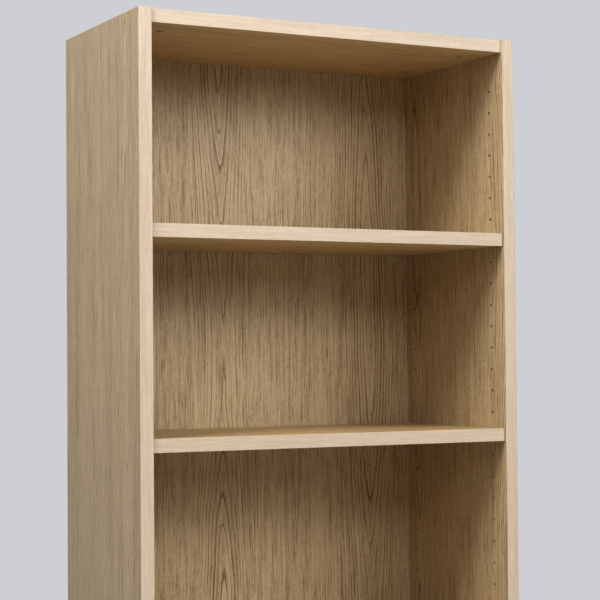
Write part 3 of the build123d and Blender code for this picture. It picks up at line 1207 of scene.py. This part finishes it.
@dataclass
class FloorGlides:
    """The four nail-on glides: a rounded plastic foot on a steel spike."""

    foot_height: float = 3.0 * MM
    radius: float = 8.0 * MM
    spike: float = 1.2 * MM
    spike_root: float = 0.5 * MM      # how deep the spike's end lies in the foot
    soft: float = 0.3 * MM            # size of the bevels

    def build(self, plastic: bpy.types.Material, steel: bpy.types.Material) -> bpy.types.Object:
        """The glides.

        Args:
            plastic: The feet's finish.
            steel: The spikes' finish.

        Returns:
            The glides as one piece.
        """
        glides = solids("floor_glides")
        top = glides[0].span(2)
        root = self.foot_height - self.spike_root
        outline = [(0.0, 0.0), (0.0, self.radius * 0.72), (0.12 * MM, self.radius * 0.82),
                   (0.5 * MM, self.radius * 0.93), (1.1 * MM, self.radius * 0.99),
                   (1.6 * MM, self.radius), (self.foot_height - self.soft, self.radius),
                   (self.foot_height, self.radius - self.soft), (self.foot_height, 0.0)]
        spike = [(root, 0.0), (root, self.spike), (top - 3 * self.spike, self.spike),
                 (top - self.soft, 0.2 * MM), (top, 0.0)]
        places = [Matrix.Translation((glide.middle.x, glide.middle.y, glide.low.z))
                  for glide in glides]
        piece = Piece("moulded_floor_glides")
        piece.add(lathe(outline, steps=48), places)
        piece.add(lathe(spike, steps=16, material=1), places)
        return piece.finish("floor_glides", [plastic, steel])


# ---- Studio -------------------------------------------------------------------
@dataclass(frozen=True)
class SoftLight:
    """One rectangular soft light."""

    name: str
    place: Place
    aim: Place
    width: float
    height: float
    power: float

    def build(self) -> None:
        """Hangs the light."""
        lamp = bpy.data.lights.new(self.name, "AREA")
        lamp.shape = "RECTANGLE"
        lamp.size, lamp.size_y = self.width, self.height
        lamp.energy = self.power
        holder = bpy.data.objects.new(self.name, lamp)
        holder.location = self.place
        direction = Vector(self.aim) - Vector(self.place)
        holder.rotation_euler = direction.to_track_quat("-Z", "Y").to_euler()
        holder.visible_camera = False
        bpy.context.scene.collection.objects.link(holder)


@dataclass
class Studio:
    """Camera, soft lights, pale surround and floor."""

    eye: Place = (-1.18239, -2.28691, 1.33197)
    yaw: float = 27.597               # degrees, to the right of +Y
    pitch: float = 1.854
    roll: float = -0.457
    lens: float = 104.80
    surround: Colour = (0.663, 0.669, 0.7005)
    fill: Colour = (0.74, 0.64, 0.52)    # the surround as light
    contrast: float = 0.85            # the picture's gamma
    front_fill: float = 0.27          # of the surround, as light from the front
    rear_fill: float = 0.16
    floor_radius: float = 4.6
    floor_fade: tuple[float, float] = (0.2, 0.95)    # shares of the radius
    floor_tone: float = 0.74
    floor_cloud: float = 0.95         # the darker spots' tone, as a share of floor_tone
    lights: tuple[SoftLight, ...] = (
        SoftLight("front_lamp", (0.25, -2.6, 2.42), (0.0, 0.0, 1.45), 0.75, 0.5, 9.5),
        SoftLight("right_soft_light", (2.4, -3.9, 2.95), (0.0, 0.0, 1.2), 2.4, 1.9, 98.0),
        SoftLight("camera_side_light", (-1.7, -3.0, 3.0), (0.0, 0.0, 1.3), 0.9, 1.4, 22.0),
        SoftLight("left_soft_light", (-2.0, -0.9, 3.2), (0.28, 0.0, 1.35), 1.1, 0.9, 68.0),
        SoftLight("low_soft_light", (0.2, -4.2, 0.7), (0.0, 0.0, 1.0), 2.4, 1.0, 7.0),
        SoftLight("rear_soft_light", (0.9, 3.2, 2.6), (0.0, 0.0, 1.0), 2.0, 1.6, 60.0),
    )

    def build_camera(self) -> None:
        """Stands the camera and makes it the scene's."""
        data = bpy.data.cameras.new("camera")
        data.lens = self.lens
        data.clip_start, data.clip_end = 0.05, 60.0
        camera = bpy.data.objects.new("camera", data)
        turn = (Matrix.Rotation(-math.radians(self.yaw), 4, "Z")
                @ Matrix.Rotation(math.radians(90 + self.pitch), 4, "X")
                @ Matrix.Rotation(math.radians(self.roll), 4, "Z"))
        camera.matrix_world = Matrix.Translation(self.eye) @ turn
        bpy.context.scene.collection.objects.link(camera)
        bpy.context.scene.camera = camera

    def build_surround(self) -> None:
        """A plain pale world, seen as it is, and as light dimmer behind the bookcase."""
        world = bpy.data.worlds.new("pale_surround")
        world.use_nodes = True
        bpy.context.scene.world = world
        recipe = Recipe(world.node_tree)
        seen = recipe.value("ShaderNodeLightPath", output="Is Camera Ray")
        direction = recipe.value("ShaderNodeTexCoord", output="Generated")
        rear = recipe.value("ShaderNodeSeparateXYZ", inputs={0: direction}, output=1)
        rear = rear.ramp(-0.6, 0.6)
        share = self.front_fill + rear * (self.rear_fill - self.front_fill)
        strength = share + seen * (1 - share)
        shade = recipe.value("ShaderNodeBackground", inputs={
            "Color": recipe.blend(seen, self.fill, self.surround), "Strength": strength})
        recipe.node("ShaderNodeOutputWorld", inputs={0: shade})
        bpy.context.scene.view_settings.view_transform = "Standard"
        bpy.context.scene.view_settings.gamma = self.contrast

    def build_floor(self) -> None:
        """A round pale floor that fades out at its rim."""
        mesh = bmesh.new()
        bmesh.ops.create_circle(mesh, cap_ends=True, radius=self.floor_radius, segments=96)
        data = bpy.data.meshes.new("floor")
        mesh.to_mesh(data)
        mesh.free()
        material, recipe = new_recipe("pale_floor")
        x, y = recipe.point["x"], recipe.point["y"]
        reach = recipe.math("SQRT", x * x + y * y) / self.floor_radius
        cloud = recipe.noise(x * 3.0, y * 3.0, 0.0, detail=4.0)
        tone = recipe.blend(0.5 + cloud, (self.floor_tone,) * 3,
                            (self.floor_tone * self.floor_cloud,) * 3)
        shader = recipe.value("ShaderNodeBsdfPrincipled", inputs={
            "Base Color": tone, "Roughness": 0.6 + cloud * 0.2,
            "Alpha": 1.0 - reach.ramp(*self.floor_fade)})
        recipe.node("ShaderNodeOutputMaterial", inputs={0: shader})
        data.materials.append(material)
        floor = bpy.data.objects.new("floor", data)
        bpy.context.scene.collection.objects.link(floor)

    def build(self) -> None:
        """Everything round the bookcase."""
        self.build_camera()
        self.build_surround()
        self.build_floor()
        for light in self.lights:
            light.build()


def main() -> None:
    """Sets up the studio, dresses the frame and makes the detailed pieces."""
    logging.basicConfig(level=logging.INFO, format="%(name)s: %(message)s")
    Studio().build()
    steel, cast_zinc, nickel = (metal.material() for metal in (STEEL, CAST_ZINC, NICKEL))
    beech = Beech().material()

    Case().dress()
    for number, name in enumerate(SHELVES):
        Shelf(name, SHELF_LEAF.shifted(number, SHELF_LEAF_STEP, SHELF_SEED_STEP)).dress(nickel)
    back = BackPanel()
    back.dress()
    back.build_nails(steel)
    for board in BOARDS:
        dress(f"{board}_cam_locks", cast_zinc)
        CamJoint(board).build_bolts(steel)
        DowelSet(f"{board}_dowels").build(beech)
    DowelSet("plinth_dowels").build(beech)
    WallTie().build(steel)
    FloorGlides().build(MouldedPlastic().material(), steel)


if __name__ == "__main__":
    main()
